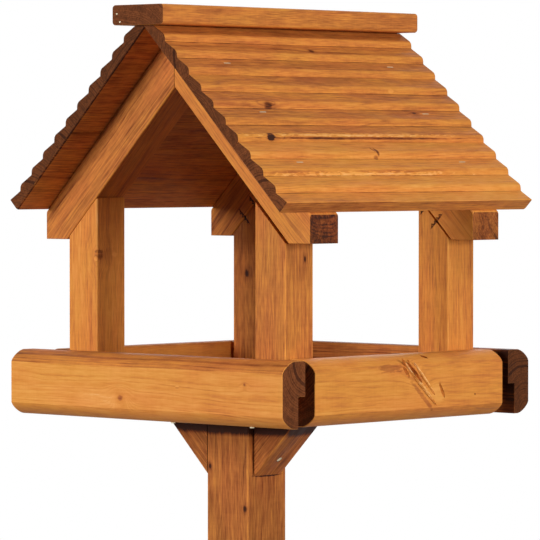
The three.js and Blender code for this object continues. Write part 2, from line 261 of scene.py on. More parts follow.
def add(tree, kind, *inputs, **settings):
    """Adds a shader node with its settings, and gives each named input a value or a link."""
    made = tree.nodes.new("ShaderNode" + kind)
    for key, value in settings.items():
        setattr(made, key, value)
    for socket, value in inputs:
        if isinstance(value, bpy.types.NodeSocket):
            tree.links.new(value, made.inputs[socket])
        else:
            made.inputs[socket].default_value = value
    return made


def new_material(name):
    material = bpy.data.materials.new(name)
    material.use_nodes = True
    material.node_tree.nodes.clear()
    return material, material.node_tree


def set_stops(ramp, stops):
    """Sets the stops of a colour ramp from pairs of a position and an sRGB hex colour."""
    elements = ramp.color_ramp.elements
    while len(elements) < len(stops):
        elements.new(0.5)
    for element, (position, colour) in zip(elements, stops):
        element.position = position
        element.color = linear(colour)
    return ramp.outputs["Color"]


# Honey wood stain, from where it is rubbed thin to where it is drunk in deep
STAIN = ((0.0, "#f7bf7a"), (0.2, "#eda351"), (0.4, "#df903f"), (0.5, "#d0813b"), (0.6, "#bd7236"),
         (0.72, "#a25c2b"), (0.85, "#743b19"), (1.0, "#351709"))
# Growth of one year: pale early wood, then a darker line of late wood
YEAR = ((0, "#3a3a3a"), (0.15, "#101010"), (0.5, "#606060"), (0.82, "#ffffff"), (0.93, "#d0d0d0"),
        (1, "#404040"))
# Heart of a knot and the wood round it: where it fades in, where it is full, how much darker
KNOT_LAYERS = ((1.9, 0.9, 0.28), (3.6, 1.2, 0.09))
KNOT_RAGGED = 0.9
SCAR_RIM = (1.1, 0.6)  # where a scar does so


def reach_of(tree, place, size, turn):
    """Distance from the middle of a knot or mark, which is 1 at its rim. Half widths are in millimetres."""
    world = add(tree, "TexCoord").outputs["Object"]
    seen = add(tree, "Mapping", ("Vector", world), ("Location", [v * MM for v in place]),
               ("Rotation", [math.radians(angle) for angle in turn]), ("Scale", [v * MM for v in size]),
               vector_type="TEXTURE")
    return add(tree, "VectorMath", (0, seen.outputs[0]), operation="LENGTH").outputs["Value"]


def patches(tree, grain, number, detail, start=(0, 0, 0)):
    """A soft cloudy field in the wood, by its number of patches to the metre along and across the grain."""
    spread = add(tree, "Mapping", ("Vector", grain), ("Location", start), ("Scale", number))
    return add(tree, "TexNoise", ("Vector", spread.outputs[0]), ("Scale", 1), ("Detail", detail))


def growth(tree, ring, knots):
    """Growth rings round the heart of the tree, bent by knots: how late the wood is, from 0 to 1."""
    grain = add(tree, "Attribute", attribute_name="grain").outputs["Vector"]
    wander = patches(tree, grain, (2.2, 9, 9), 2)
    middle = add(tree, "VectorMath", (0, wander.outputs["Color"]), (1, (0.5, 0.5, 0.5)),
                 operation="SUBTRACT")
    bent = add(tree, "VectorMath", (0, middle.outputs[0]), (1, (0, RING_WANDER, RING_WANDER)), (2, grain),
               operation="MULTIPLY_ADD")
    across = add(tree, "VectorMath", (0, bent.outputs[0]), (1, (0, 1, 1)), operation="MULTIPLY")
    radius = add(tree, "VectorMath", (0, across.outputs[0]), operation="LENGTH").outputs["Value"]
    ripple = patches(tree, grain, (18, 80, 80), 2)
    radius = add(tree, "Math", (0, ripple.outputs[0]), (1, RING_RIPPLE), (2, radius),
                 operation="MULTIPLY_ADD").outputs[0]
    for place, size, turn, swell in knots:
        reach = reach_of(tree, place, [v * 5 for v in size], turn)
        square = add(tree, "Math", (0, reach), (1, reach), operation="MULTIPLY")
        fade = add(tree, "Math", (0, square.outputs[0]), (1, -1.6), operation="MULTIPLY")
        hill = add(tree, "Math", (0, fade.outputs[0]), operation="EXPONENT")
        radius = add(tree, "Math", (0, hill.outputs[0]), (1, swell * MM), (2, radius),
                     operation="MULTIPLY_ADD").outputs[0]
    count = add(tree, "Math", (0, radius), (1, 1 / ring), operation="MULTIPLY").outputs[0]
    uneven = add(tree, "TexNoise", ("W", count), ("Scale", 0.43), ("Detail", 1),
                 noise_dimensions="1D")
    count = add(tree, "Math", (0, uneven.outputs[0]), (1, YEAR_SWING), (2, count),
                operation="MULTIPLY_ADD").outputs[0]
    year = add(tree, "Math", (0, count), operation="FRACT")
    late = set_stops(add(tree, "ValToRGB", ("Fac", year.outputs[0])), YEAR)
    # Some years show strongly and others hardly
    bold = add(tree, "TexNoise", ("W", count), ("Scale", 0.7), ("Detail", 1),
               noise_dimensions="1D")
    bold = add(tree, "MapRange", (0, bold.outputs[0]), (1, 0.3), (2, 0.7), (3, 0.25), (4, 1))
    late = add(tree, "Math", (0, late), (1, bold.outputs[0]), operation="MULTIPLY")
    return grain, late.outputs[0]


def stained_pine(name, figure, fibres, knots=(), scars_and_shade=(), ring=3.4 * MM):
    """Planed pine under a honey stain: soft grain lines, short streaks, and patches that drank more stain.

    Figure is how strongly the rings show, and fibres how strongly the fibres do.
    """
    material, tree = new_material(name)
    grain, late = growth(tree, ring, knots)
    tone = add(tree, "Attribute", attribute_name="tone").outputs["Fac"]
    depth = add(tree, "Math", (0, tone), (1, 0.5 - 0.3 * figure), operation="ADD").outputs[0]
    # The figure of the rings fades in and out over some centimetres
    faint = patches(tree, grain, (14, 45, 45), 1)
    shown = add(tree, "MapRange", (0, faint.outputs[0]), (1, 0.35), (2, 0.65), (3, 0.35 * figure),
                (4, figure))
    depth = add(tree, "Math", (0, late), (1, shown.outputs[0]), (2, depth),
                operation="MULTIPLY_ADD").outputs[0]
    # Lengths and widths in millimetres of fibres, drawn coarser than real ones so that they show, of
    # streaks, of patches of stain, of planer marks and of the broad drift of the stain
    layers = (((16, 1.3), 3, fibres), ((70, 3.2), 2, 0.7 * fibres), ((28, 11), 4, 0.26), ((3, 30), 1, 0.06),
              ((150, 45), 2, 0.22))
    for (along, across), detail, amount in layers:
        field = patches(tree, grain, (1 / (along * MM), 1 / (across * MM), 1 / (across * MM)), detail)
        swing = add(tree, "Math", (0, field.outputs[0]), (1, 0.5), operation="SUBTRACT")
        depth = add(tree, "Math", (0, swing.outputs[0]), (1, amount), (2, depth),
                    operation="MULTIPLY_ADD").outputs[0]
        if detail == 3:
            fibre = field.outputs[0]
    crumble = patches(tree, grain, (130, 500, 500), 1).outputs[0]
    # Knots: dense dark wood with a ragged soft edge, in wood that is a little darker all round
    marks = [(place, size, turn, KNOT_RAGGED, *layer) for place, size, turn, _ in knots
             for layer in KNOT_LAYERS]
    # Scars: chipped or torn fibres are paler, cracks and dents hold more stain, and some marks are painted
    # shade or a painted highlight
    marks += [(place, size, turn, broken, *[at + broken / 2 for at in SCAR_RIM], amount)
              for place, size, turn, amount, broken in scars_and_shade]
    for place, size, turn, broken, rim, core, amount in marks:
        ragged = add(tree, "Math", (0, crumble), (1, broken), (2, reach_of(tree, place, size, turn)),
                     operation="MULTIPLY_ADD")
        inside = add(tree, "MapRange", (0, ragged.outputs[0]), (1, rim), (2, core), (3, 0), (4, amount),
                     interpolation_type="SMOOTHSTEP")
        depth = add(tree, "Math", (0, depth), (1, inside.outputs[0]), operation="ADD").outputs[0]
    # Edges are paler where the stain is rubbed, and this also paints their highlights
    wear_and_highlight = add(tree, "Attribute", attribute_name="wear_and_highlight").outputs["Fac"]
    rubbed_and_highlight = patches(tree, grain, (28, 90, 90), 2)
    bare_and_highlight = add(tree, "MapRange", (0, rubbed_and_highlight.outputs[0]), (1, 0.25), (2, 0.7),
               (3, 0.04), (4, 0.34))
    bare_and_highlight = add(tree, "Math", (0, bare_and_highlight.outputs[0]), (1, wear_and_highlight), operation="MULTIPLY")
    depth = add(tree, "Math", (0, depth), (1, bare_and_highlight.outputs[0]), operation="SUBTRACT",
                use_clamp=True).outputs[0]
    colour = set_stops(add(tree, "ValToRGB", ("Fac", depth)), STAIN)
    # The stain drifts between golden and reddish from place to place
    drift = patches(tree, grain, (12, 40, 40), 2, (3, 5, 7))
    hue = add(tree, "MapRange", (0, drift.outputs[0]), (1, 0.3), (2, 0.7),
              (3, HUE_DRIFT[0]), (4, HUE_DRIFT[1]))
    colour = add(tree, "HueSaturation", ("Hue", hue.outputs[0]), ("Color", colour)).outputs[0]
    # Late wood and fibres stand a little proud of the planed face
    relief = add(tree, "Math", (0, fibre), (1, 0.9), (2, late), operation="MULTIPLY_ADD")
    bump = add(tree, "Bump", ("Height", relief.outputs[0]), ("Strength", 0.5),
               ("Distance", 0.22 * MM))
    gloss = add(tree, "MapRange", (0, late), (3, 0.62), (4, 0.5))
    shader = add(tree, "BsdfPrincipled", ("Base Color", colour), ("Roughness", gloss.outputs[0]),
                 ("Normal", bump.outputs[0]), ("IOR", STAIN_IOR), ("Specular IOR Level", STAIN_SHEEN))
    add(tree, "OutputMaterial", ("Surface", shader.outputs[0]))
    return material


def sawn_pine(name, early, late, ring=2.9 * MM):
    """Pine sawn across the grain: the open ends of the fibres drink the stain, so it is dark and dull."""
    material, tree = new_material(name)
    grain, lateness = growth(tree, ring, ())
    tone = add(tree, "Attribute", attribute_name="tone").outputs["Fac"]
    colour = add(tree, "Mix", (0, lateness), (6, linear(early)), (7, linear(late)),
                 data_type="RGBA").outputs[2]
    # Torn ends of fibres, drawn about 2 mm wide so that they show, and damp patches
    shade = add(tree, "MapRange", (0, tone), (1, -0.3), (2, 0.3), (3, 1.5), (4, 0.5)).outputs[0]
    for size, low, high in ((2.2, 0.72, 1.32), (11, 0.8, 1.22)):
        torn = patches(tree, grain, [1 / (size * MM)] * 3, 3)
        level = add(tree, "MapRange", (0, torn.outputs[0]), (1, 0.3), (2, 0.7),
                    (3, low), (4, high))
        shade = add(tree, "Math", (0, shade), (1, level.outputs[0]),
                    operation="MULTIPLY").outputs[0]
    colour = add(tree, "Mix", (0, 1.0), (6, colour), (7, shade), data_type="RGBA",
                 blend_type="MULTIPLY").outputs[2]
    # Rims are paler where the stain is worn, and this also paints their highlights
    wear_and_highlight = add(tree, "Attribute", attribute_name="wear_and_highlight").outputs["Fac"]
    bare_and_highlight = add(tree, "Math", (0, wear_and_highlight), (1, 0.5), operation="MULTIPLY", use_clamp=True)
    colour = add(tree, "Mix", (0, bare_and_highlight.outputs[0]), (6, colour), (7, linear("#c98a4e")),
                 data_type="RGBA").outputs[2]
    relief = add(tree, "Math", (0, torn.outputs[0]), (1, 0.5), (2, lateness),
                 operation="MULTIPLY_ADD")
    bump = add(tree, "Bump", ("Height", relief.outputs[0]), ("Strength", 0.6),
               ("Distance", 0.3 * MM))
    shader = add(tree, "BsdfPrincipled", ("Base Color", colour), ("Roughness", 0.8),
                 ("Normal", bump.outputs[0]), ("IOR", STAIN_IOR), ("Specular IOR Level", STAIN_SHEEN))
    add(tree, "OutputMaterial", ("Surface", shader.outputs[0]))
    return material


def zinc_steel(name, colour, rough):
    """Zinc plated steel: dull grey, with the plating slightly cloudy."""
    material, tree = new_material(name)
    place = add(tree, "TexCoord").outputs["Object"]
    cloud = add(tree, "TexNoise", ("Vector", place), ("Scale", 900), ("Detail", 2))
    shade = add(tree, "MapRange", (0, cloud.outputs[0]), (1, 0.3), (2, 0.7),
                (3, 0.8), (4, 1.1))
    tint = add(tree, "Mix", (0, 1.0), (6, linear(colour)), (7, shade.outputs[0]), data_type="RGBA",
               blend_type="MULTIPLY")
    shader = add(tree, "BsdfPrincipled", ("Base Color", tint.outputs[2]), ("Metallic", 1.0),
                 ("Roughness", rough))
    add(tree, "OutputMaterial", ("Surface", shader.outputs[0]))
    return material


UNTURNED = (0, 0, 0)
ON_SLOPE = (0, 45, 0)  # level with the right slope of the roof

# Knots by piece, in millimetres and degrees: place, half widths, turn, how far the rings swell round it
KNOTS = {
    "front_rail": [((-36, -163.7, 1024.5), (3.6, 6, 3), (0, 20, 0), 14),
                   ((150, -163.7, 1046), (1.6, 4, 1.4), UNTURNED, 3)],
    "right_rail": [((205, 49, 1051), (5, 7, 3), (-42, 0, 0), -9)],
    "left_rail": [((-205, -40, 1030), (8, 5, 4), UNTURNED, 8)],
    "back_rail": [((90, 246.3, 1044), (5, 6, 4), UNTURNED, 8)],
    "front_left_corner_post": [((-117, -113, 1177), (6, 6, 4), UNTURNED, 12)],
    "front_right_corner_post": [((165, -84.6, 1178.4), (5, 1.6, 3.4), UNTURNED, 3)],
    "back_left_corner_post": [((-142.4, 153.3, 1152.4), (3.6, 6, 4), UNTURNED, 6)],
    "post": [((27.2, -31.5, 898.2), (2.6, 5, 3.4), UNTURNED, 4),
             ((-26.3, -31.5, 943.1), (1.8, 4, 2.6), UNTURNED, 3),
             ((-8, 31.5, 640), (7, 8, 6), UNTURNED, 8),
             ((-10, -31.5, 420), (5, 8, 5), UNTURNED, 7)],
    "right_roof_board_upper": [((41.7, 61.2, 1406.2), (3, 4, 1.4), ON_SLOPE, 3)],
    "right_roof_board_middle": [((104, -76.1, 1343.9), (4.2, 6, 6), ON_SLOPE, 5),
                                ((110, 159.7, 1338), (1.6, 3.4, 6), ON_SLOPE, 3),
                                ((138.5, -110.2, 1309.4), (4.6, 6, 6), ON_SLOPE, 6)],
    "left_roof_board_middle": [((-100, 60, 1348), (5, 6, 6), (0, -45, 0), 6)],
}

# Scars and painted shade by piece, as the knots: place, half widths, turn, how much darker or paler, how
# broken
SCARS_AND_SHADE = {
    # A dent with its pale lip, and a golden patch by the knot
    "front_rail": [((50.5, -163.7, 1040.5), (3.5, 2, 0.9), UNTURNED, -0.22, 0),
                   ((50.5, -163.7, 1038.9), (3.5, 2, 0.7), UNTURNED, 0.2, 0),
                   ((-66, -163.7, 1019), (34, 4, 9), (0, 6, 0), -0.08, 1)],
    # Pale ridges of the torn knot with a painted highlight on the top of one, dark hollows that are stain
    # and painted shade, the stain round it, and the hole of a nail
    "right_rail": [((205, 57, 1042), (3, 38, 2.8), (-43, 0, 0), -0.44, 0.6),
                   ((205, 62, 1050), (3, 30, 2.0), (-46, 0, 0), -0.34, 0.6),
                   ((205, 88, 1030), (3, 15, 11), (-43, 0, 0), -0.12, 0.8),
                   ((206, 41, 1057.5), (3, 11, 2.6), (-42, 0, 0), -0.6, 0.3),
                   ((204, 48.8, 1051.7), (3, 19, 2.0), (-42, 0, 0), 0.34, 0.3),
                   ((205, 95, 1032), (3, 9.5, 1.6), (-60, 0, 0), 0.32, 0.3),
                   ((205, 35.4, 1053.8), (3, 7, 1.8), (-48, 0, 0), 0.36, 0.3),
                   ((194.5, 77.5, 1067.6), (5, 7, 1.8), (-30, 0, 0), 0.3, 0.3),
                   ((205, 64, 1025), (3, 32, 3), (-42, 0, 0), 0.22, 1),
                   ((205, 11.7, 1061.3), (3, 24, 8), UNTURNED, 0.2, 1.2),
                   ((205, 152.1, 1024.9), (3, 1.4, 1.3), UNTURNED, 0.4, 0)],
    # Painted shade on the end behind the drain gap
    "back_rail": [((202, 214, 1036), (34, 13, 60), UNTURNED, 0.4, 0)],
    # The dark rim of the knot, and the pale and dark wood by it
    "front_left_corner_post": [((-118, -113, 1182.5), (8, 8, 2.4), UNTURNED, 0.26, 0.8),
                               ((-122, -115.7, 1174.5), (2.6, 3, 3), UNTURNED, -0.3, 0.3),
                               ((-120, -100, 1176), (4, 9, 12), UNTURNED, 0.08, 0.9),
                               ((-120, -88, 1179), (3, 5, 3), UNTURNED, -0.12, 0.9)],
    "front_right_corner_post": [((165, -84.6, 1178.4), (3, 0.8, 3.4), UNTURNED, 0.35, 0.3)],
    # Painted shadow under the rails, and painted shade in the joint round the foot of the right brace
    "post": [((0, 0, 994), (300, 300, 16), UNTURNED, 0.5, 0),
             ((31.5, -23, 966), (3, 1.2, 38), UNTURNED, 0.3, 0.2),
             ((31.5, 0, 934.4), (3, 26, 1.9), UNTURNED, 0.36, 0.2)],
    # Painted shadow under the rails
    "left_tray_brace": [((-60, 0, 995), (300, 300, 16), UNTURNED, 0.45, 0)],
    "right_tray_brace": [((60, 0, 995), (300, 300, 16), UNTURNED, 0.45, 0)],
    # Pale chips on the crests of the ribs, the open joint under the middle board, and a curved crack
    "right_roof_board_upper": [((56.8, -91.8, 1391.1), (2, 5, 6), ON_SLOPE, -0.2, 0.4),
                               ((56.7, 178.4, 1391.2), (1.6, 4.5, 6), ON_SLOPE, -0.24, 0.4)],
    "right_roof_board_middle": [((85.8, 146.7, 1362.1), (1.8, 6, 6), ON_SLOPE, -0.2, 0.4),
                                ((110.5, 178, 1337.4), (2, 11, 6), ON_SLOPE, -0.2, 0.5),
                                ((108.4, -76, 1339.6), (1.6, 6, 6), ON_SLOPE, -0.2, 0.3),
                                ((136.8, 20, 1311.2), (2.2, 150, 6), ON_SLOPE, -0.3, 3.2),
                                ((139.6, 30, 1308.4), (1.3, 190, 6), ON_SLOPE, 0.36, 0.6),
                                ((138.5, -110.2, 1309.4), (5, 7, 6), ON_SLOPE, 0.4, 0.6)],
    "right_roof_board_lower": [((177.5, -5, 1270.5), (2.0, 150, 6), ON_SLOPE, -0.26, 3.0),
                               ((154.7, 42.6, 1293.2), (6.5, 2.6, 6), (0, 45, 12), 0.5, 0.2),
                               ((160, 38.5, 1288), (3, 4.6, 6), ON_SLOPE, 0.3, 0.5),
                               ((153, 38, 1295), (5, 1.5, 6), (0, 45, 20), 0.34, 0.3)],
}

# How much stain is rubbed off the edges, with their painted highlights, by slot
WEAR_AND_HIGHLIGHT = {"rail_wood": 1.0, "floor_wood": 0.8, "post_wood": 1.0, "rafter_wood": 1.0, "roof_wood": 0.7}
RIM_WEAR_AND_HIGHLIGHT = 0.3  # share of it round the saw cuts
# How strongly rings and fibres show, by slot: the rails are planed clean, and posts and boards are rougher
GRAIN = {"rail_wood": (0.26, 0.3), "floor_wood": (0.24, 0.3), "post_wood": (0.14, 0.5),
         "rafter_wood": (0.22, 0.36), "roof_wood": (0.2, 0.5)}
CALM_GRAIN = {"right_rail": 0.6}  # share of the usual figure on a piece with calmer rings
SHARED_PINE = {slot: stained_pine("planed pine, honey stain, " + slot.replace("_", " "), *strengths)
               for slot, strengths in GRAIN.items()}


# Fibres torn out of a piece, and splinters that stand proud of it: middle, half sizes, turn about X
GOUGES = {"right_rail": [((205.4, 48.8, 1051.7), (3.6, 19.8, 2.8), -41.8),
                         ((205.4, 95.6, 1031.4), (3, 9.6, 2.1), -62),
                         ((205.4, 35.4, 1053.8), (2.8, 8, 2.4), -48.6),
                         ((194.5, 77.5, 1067.6), (3, 7.2, 1.8), -30)]}
SPLINTERS = {"right_rail": [((204.8, 57, 1041.8), (2.6, 38, 2.6), -42.7),
                            ((204.8, 66.2, 1045), (1.9, 24, 2.0), -46.2),
                            ((204.9, 47, 1058), (1.4, 13, 1.6), -44)]}
RAGGED = 0.1  # share by which the outline of a tear wanders


STROKE = ((14, 4, 1.5), 0.4, 0.4)  # half widths in mm, how much darker, how broken


def strokes_on(node):
    """Dark strokes along the corrugated fasteners: stain in the wood that they crushed, and painted shade
    in their grooves.
    """
    low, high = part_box(node)
    size, darker, broken = STROKE
    strokes = []
    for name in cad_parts:
        first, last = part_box(name)
        if "corrugated" not in name or any(last[k] < low[k] or first[k] > high[k] for k in range(3)):
            continue
        middle = (first + last) / 2
        face = max(first.y, last.y) if middle.y < 0 else min(first.y, last.y)
        lean = 0 if abs(middle.x) < STOCK else -45 if middle.x > 0 else 45
        strokes.append(((middle.x / MM, face / MM, middle.z / MM), size, (0, lean, 0), darker, broken))
    return strokes


def own_finish(node, slot):
    """The shared finish of a family of pieces, or one of its own where a piece has knots, scars or painted
    shade.
    """
    scars_and_shade = SCARS_AND_SHADE.get(node, []) + strokes_on(node)
    if node not in KNOTS and not scars_and_shade:
        return SHARED_PINE[slot]
    figure, fibres = GRAIN[slot]
    return stained_pine(node.replace("_", " ") + ", planed pine with its knots",
                        figure * CALM_GRAIN.get(node, 1), fibres, KNOTS.get(node, ()), scars_and_shade)


END_WOOD = sawn_pine("sawn pine ends, stained dark", "#6c3b1e", "#3a1c0d")
ZINC = zinc_steel("zinc plated steel, dull", "#cbbd9f", 0.45)
STAINED_STEEL = zinc_steel("steel fastener, stained over", "#3a2216", 0.6)

# Fastenings

FASTENINGS = [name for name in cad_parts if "screw" in name or "fastener" in name]


def head_faces(name):
    """The way that the head of a screw, or the open edge of a corrugated fastener, faces."""
    low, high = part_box(name)
    middle = (low + high) / 2
    if "corrugated" in name:
        return -Y if middle.y > 0 else Y
    if abs(middle.x) > abs(middle.y):
        outward = X if middle.x > 0 else -X
    else:
        outward = Y if middle.y > 0 else -Y
    ways = {"corner_post": -Z, "post_foot": -Z, "brace_top": Z, "post_top": Y, "tray_brace": outward - Z,
            "foot_brace": outward + Z}
    return next(way for start, way in ways.items() if name.startswith(start)).normalized()


def let_in(piece):
    """Cuts the holes and grooves of all the fastenings that pass through a piece."""
    corners = [corner.co for corner in piece.data.vertices]
    lowest = [min(co[axis] for co in corners) for axis in range(3)]
    highest = [max(co[axis] for co in corners) for axis in range(3)]
    for name in FASTENINGS:
        low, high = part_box(name)
        if any(low[axis] > highest[axis] or high[axis] < lowest[axis] for axis in range(3)):
            continue
        cutter = bpy.data.objects.new("hole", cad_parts[name].data.copy())
        bpy.context.scene.collection.objects.link(cutter)
        pick(cutter, "VERT")
        bpy.ops.mesh.remove_doubles(threshold=WELD)
        bpy.ops.mesh.normals_make_consistent(inside=False)
        clearance = GROOVE_CLEARANCE if "corrugated" in name else HOLE_CLEARANCE
        bpy.ops.transform.shrink_fatten(value=clearance)
        close()
        way = head_faces(name)
        outmost = max(corner.co.dot(way) for corner in cutter.data.vertices) - clearance
        pick(cutter, "VERT", lambda corner: corner.co.dot(way) > outmost)
        bpy.ops.transform.translate(value=way * CUT_OVERRUN)
        close()
        bore(piece, cutter)


def tear(piece, place, size, turn, operation):
    """Tears a long ragged hollow out of a side face, or leaves a splinter of that shape standing on it."""
    bpy.ops.mesh.primitive_uv_sphere_add(segments=40, ring_count=14, rotation=(math.radians(90), 0, 0))
    lens = bpy.context.object
    for corner in lens.data.vertices:
        corner.co *= random.uniform(1 - RAGGED, 1 + RAGGED)
    bpy.ops.object.transform_apply(location=True, rotation=True, scale=True)
    lens.scale = [v * MM for v in size]
    bpy.ops.object.transform_apply(location=True, rotation=True, scale=True)
    pick(lens, "FACE")
    bpy.ops.mesh.quads_convert_to_tris()
    close()
    put(lens, Matrix.Rotation(math.radians(turn), 3, "X"), Vector(place) * MM)
    bore(piece, lens, operation)


# Making a piece of timber ready

FLAT_WIDTH = 2.4 * MM  # a facet narrower than this belongs to a rounded edge
FULL_BEND = 0.29  # 1 less the cosine of 45 degrees, as in the middle of a rounded edge
LEAST_END = 6 * MM * MM  # on a torn piece, a facet smaller than this is torn fibres and no sawn end


def finish_timber(piece, node, slot, along, side, centre, tone, crease=32, shade=None):
    """Bores a piece, lays its grain, marks sawn ends, worn edges with painted highlights, and stain and
    painted shade by face, smooths its roundings and fixes it.
    """
    let_in(piece)
    for place, size, turn in SPLINTERS.get(node, ()):
        tear(piece, place, size, turn, "UNION")
    for place, size, turn in GOUGES.get(node, ()):
        tear(piece, place, size, turn, "DIFFERENCE")
    alone(piece)
    bpy.ops.object.shade_smooth_by_angle(angle=math.radians(crease))
    soften = piece.modifiers.new("even light on flats", "WEIGHTED_NORMAL")
    soften.keep_sharp = True
    bpy.ops.object.modifier_apply(modifier=soften.name)
    mesh = piece.data
    mesh.materials.clear()
    mesh.materials.append(own_finish(node, slot))
    mesh.materials.append(END_WOOD)
    flats, depths = [], []
    least_end = LEAST_END if node in GOUGES else 0
    for face in mesh.polygons:
        face.material_index = int(abs(face.normal.dot(along)) > SQUARE_CUT and face.area > least_end)
        depths.append(tone + (shade(face) if shade else 0))
        longest = max((mesh.vertices[a].co - mesh.vertices[b].co).length for a, b in face.edge_keys)
        if face.area / longest > FLAT_WIDTH and not any(face.normal.dot(n) > PARALLEL for n in flats):
            flats.append(face.normal.copy())
    up = along.cross(side)
    spin = random.uniform(0, 2 * math.pi)
    heart = random.uniform(*HEART_DISTANCE) * MM
    start = Vector((random.uniform(0, TREE_HEIGHT), heart * math.cos(spin), heart * math.sin(spin)))
    places = []
    for corner in mesh.vertices:
        offset = corner.co - centre
        places.extend(Vector((offset.dot(along), offset.dot(side), offset.dot(up))) + start)
    # Rounded edges are paler: rubbed stain and painted highlights
    wear_and_highlight = []
    for face in mesh.polygons:
        flat = any(face.normal.dot(n) > PARALLEL for n in flats)
        rubbed_and_highlight = WEAR_AND_HIGHLIGHT[slot] * (RIM_WEAR_AND_HIGHLIGHT if abs(face.normal.dot(along)) > END_LEAN else 1)
        for index in face.vertices:
            bend = 1 - max(mesh.vertices[index].normal.dot(n) for n in flats)
            wear_and_highlight.append(0.0 if flat else min(1.0, bend / FULL_BEND) * rubbed_and_highlight)
    mesh.attributes.new("grain", "FLOAT_VECTOR", "POINT").data.foreach_set("vector", places)
    mesh.attributes.new("wear_and_highlight", "FLOAT", "CORNER").data.foreach_set("value", wear_and_highlight)
    mesh.attributes.new("tone", "FLOAT", "FACE").data.foreach_set("value", depths)
    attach(piece, "root")
    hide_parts(node)


def node_block(node):
    low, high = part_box(node)
    return new_block(node + "_stained", high - low, (low + high) / 2), (low + high) / 2


def straight_timber(node, along, side, arris, slot, tone, cuts=(), shade=None):
    """A square piece of timber that fills its box, with its long edges rounded and its ends sawn."""
    piece, centre = node_block(node)
    ease(piece, along, arris)
    for point, waste in cuts:
        saw(piece, point, waste)
    break_rims(piece, [along, -along] + [waste.normalized() for _, waste in cuts])
    finish_timber(piece, node, slot, along, side, centre, tone, shade=shade)


def leaning_timber(node, centre, along, side, length, cuts, slot, tone):
    """Square stock that leans, sawn level and plumb."""
    piece = new_block(node + "_stained", (length, STOCK, STOCK))
    ease(piece, X, STOCK_ARRIS)
    put(piece, square_to(along, side), centre)
    for point, waste in cuts:
        saw(piece, point, waste)
    break_rims(piece, [waste.normalized() for _, waste in cuts])
    finish_timber(piece, node, slot, along, side, centre, tone,
                  shade=lambda face: CUT_STAIN if abs(face.normal.dot(along)) > SLANT_CUT else 0)


# Rails


def make_rail(node, turn, tone, top_stain_and_shade=TOP_STAIN_AND_SHADE):
    """A rail lies along X with its outer face at y = 0, and is then turned into its place."""
    low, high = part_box(node)
    length = max((high - low).x, (high - low).y)
    lip = Vector((length, RAIL_LIP, RAIL_SHOULDER))
    piece = new_block(node + "_stained", lip, Vector((0, lip.y, lip.z)) / 2)
    pick(piece, "FACE", lambda face: face.normal.z > FACING)
    rise = RAIL_HEIGHT - RAIL_SHOULDER
    bpy.ops.mesh.extrude_region_move(TRANSFORM_OT_translate={"value": (0, 0, rise)})
    close()
    pick(piece, "FACE", lambda face: face.normal.y > FACING and face.calc_center_median().z > RAIL_SHOULDER)
    shoulder = RAIL_THICKNESS - RAIL_LIP
    bpy.ops.mesh.extrude_region_move(TRANSFORM_OT_translate={"value": (0, shoulder, 0)})
    close()
    inner_top = Vector((RAIL_THICKNESS, RAIL_HEIGHT))
    ease(piece, X, RAIL_ARRIS, 6, wanted=lambda edge: (edge.verts[0].co.yz - inner_top).length < MM)
    # The crown is wider than it is high, so the rail is stretched while its edges are rounded
    stretch = RAIL_CROWN_WIDTH / RAIL_CROWN_HEIGHT
    middle = (0, 0, RAIL_HEIGHT / 2)
    pick(piece, "VERT")
    bpy.ops.transform.resize(value=(1, 1, stretch), center_override=middle)
    close()
    ease(piece, X, RAIL_CROWN_WIDTH, 7, RAIL_CROWN_BEND, lambda edge: abs(edge.verts[0].co.y) < MM)
    pick(piece, "VERT")
    bpy.ops.transform.resize(value=(1, 1, 1 / stretch), center_override=middle)
    close()
    break_rims(piece, [X, -X], RAIL_RIM)
    rotation = Matrix.Rotation(turn, 3, "Z")
    along, inward = rotation @ X, rotation @ Y
    centre = (low + high) / 2
    outer = centre - inward * RAIL_THICKNESS / 2
    put(piece, rotation, Vector((outer.x, outer.y, low.z)))

    def crown_stain_and_shade(face):
        """The top and the upper crown hold more stain and get painted shade, and the lower crown and the
        underside get painted shade.
        """
        if abs(face.normal.dot(along)) > CROWN_LEAN:
            return 0
        if face.normal.z > CROWN_LEAN:
            return top_stain_and_shade
        return BOTTOM_PAINTED_SHADE if face.normal.z < -CROWN_LEAN else 0

    finish_timber(piece, node, "rail_wood", along, inward, centre, tone, crease=16, shade=crown_stain_and_shade)


# The last number is stain and painted shade on a rail's top and upper crown
make_rail("front_rail", 0, -0.12, 0.2)
make_rail("back_rail", math.pi, 0.17)
make_rail("right_rail", math.pi / 2, -0.07, 0.0)
make_rail("left_rail", -math.pi / 2, -0.02)

# Tray floor

for number, tone in ((1, 0.05), (2, 0.12), (3, 0.02)):
    straight_timber(f"floor_board_{number}", Y, X, BOARD_ARRIS, "floor_wood", tone)
straight_timber("floor_bearer", X, Y, BEARER_ARRIS, "floor_wood", 0.15)

# Shelter frames

POST_TONES = {"front_left": -0.06, "front_right": 0.08, "back_left": 0.14, "back_right": -0.02}
RAFTER_TONES = {"front_left": 0.14, "front_right": 0.04, "back_left": 0.09, "back_right": -0.08}

